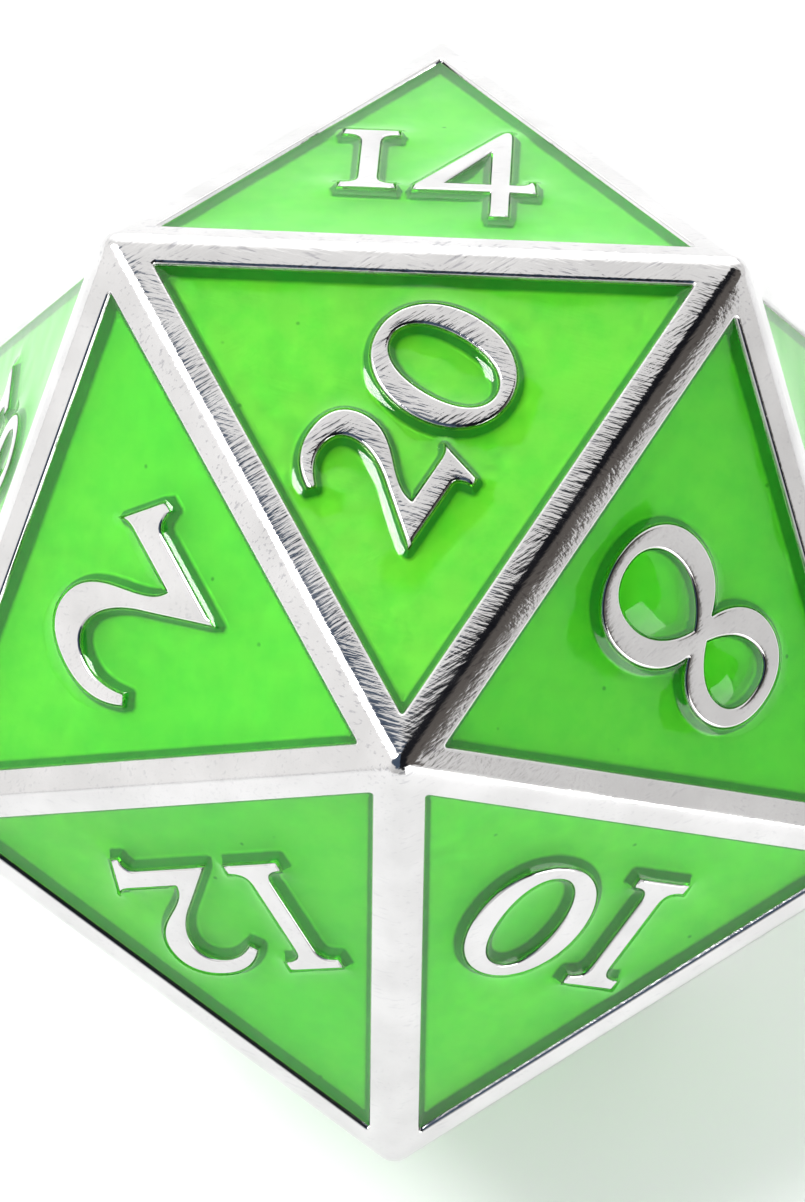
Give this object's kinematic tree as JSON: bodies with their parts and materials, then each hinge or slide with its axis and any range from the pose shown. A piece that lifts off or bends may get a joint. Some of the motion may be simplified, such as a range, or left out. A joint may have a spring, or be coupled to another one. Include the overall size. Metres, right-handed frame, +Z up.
{
  "type": "polyhedral die",
  "caption": "Regular icosahedral metal die with raised rims and raised old-style numerals around glossy green enamel fields.",
  "frame": {"origin": "centre of the face the die lies on, at the plane of that face's rims", "axes": "+Z up through the opposite face, +X to the right, -Y towards the front corner of the top face"},
  "size_m": [0.0234, 0.027, 0.022],
  "materials": {
    "plating": "satin chrome plating on die-cast zinc, lightly brushed on top, polished at the edges",
    "enamel": "translucent glossy green enamel, poured and self-levelled"
  },
  "bodies": {
    "root": {"die_casting": "plating", "enamel_field_1": "enamel", "enamel_field_10": "enamel", "enamel_field_11": "enamel", "enamel_field_12": "enamel", "enamel_field_13": "enamel", "enamel_field_14": "enamel", "enamel_field_15": "enamel", "enamel_field_16": "enamel", "enamel_field_17": "enamel", "enamel_field_18": "enamel", "enamel_field_19": "enamel", "enamel_field_2": "enamel", "enamel_field_20": "enamel", "enamel_field_3": "enamel", "enamel_field_4": "enamel", "enamel_field_5": "enamel", "enamel_field_6": "enamel", "enamel_field_7": "enamel", "enamel_field_8": "enamel", "enamel_field_9": "enamel", "enamel_loop_10": "enamel", "enamel_loop_14": "enamel", "enamel_loop_16": "enamel", "enamel_loop_18_lower": "enamel", "enamel_loop_18_upper": "enamel", "enamel_loop_19": "enamel", "enamel_loop_20": "enamel", "enamel_loop_4": "enamel", "enamel_loop_6": "enamel", "enamel_loop_8_lower": "enamel", "enamel_loop_8_upper": "enamel", "enamel_loop_9": "enamel"}
  },
  "joints": []
}
